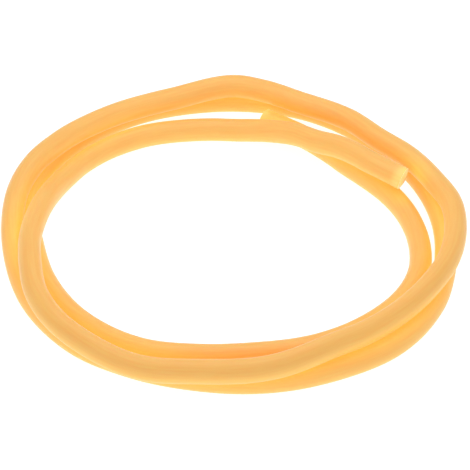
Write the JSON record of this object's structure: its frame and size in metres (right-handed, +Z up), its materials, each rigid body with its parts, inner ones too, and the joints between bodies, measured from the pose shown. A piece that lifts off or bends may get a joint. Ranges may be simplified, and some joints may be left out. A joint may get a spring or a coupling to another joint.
{
  "type": "rubber tubing coil",
  "caption": "Length of soft amber rubber laboratory tubing, hollow from end to end, laid in a loose flat coil with both cut ends free.",
  "frame": {"origin": "middle of the coil's bounding box, on the plane it lies on", "axes": "+Z up out of the flat coil, -Y towards the viewer of the picture, +X to the right; both cut ends are at the back right"},
  "size_m": [0.177, 0.1794, 0.0212],
  "materials": {
    "rubber": "soft sheen, translucent amber"
  },
  "bodies": {
    "root": {"tubing": "rubber"}
  },
  "joints": []
}
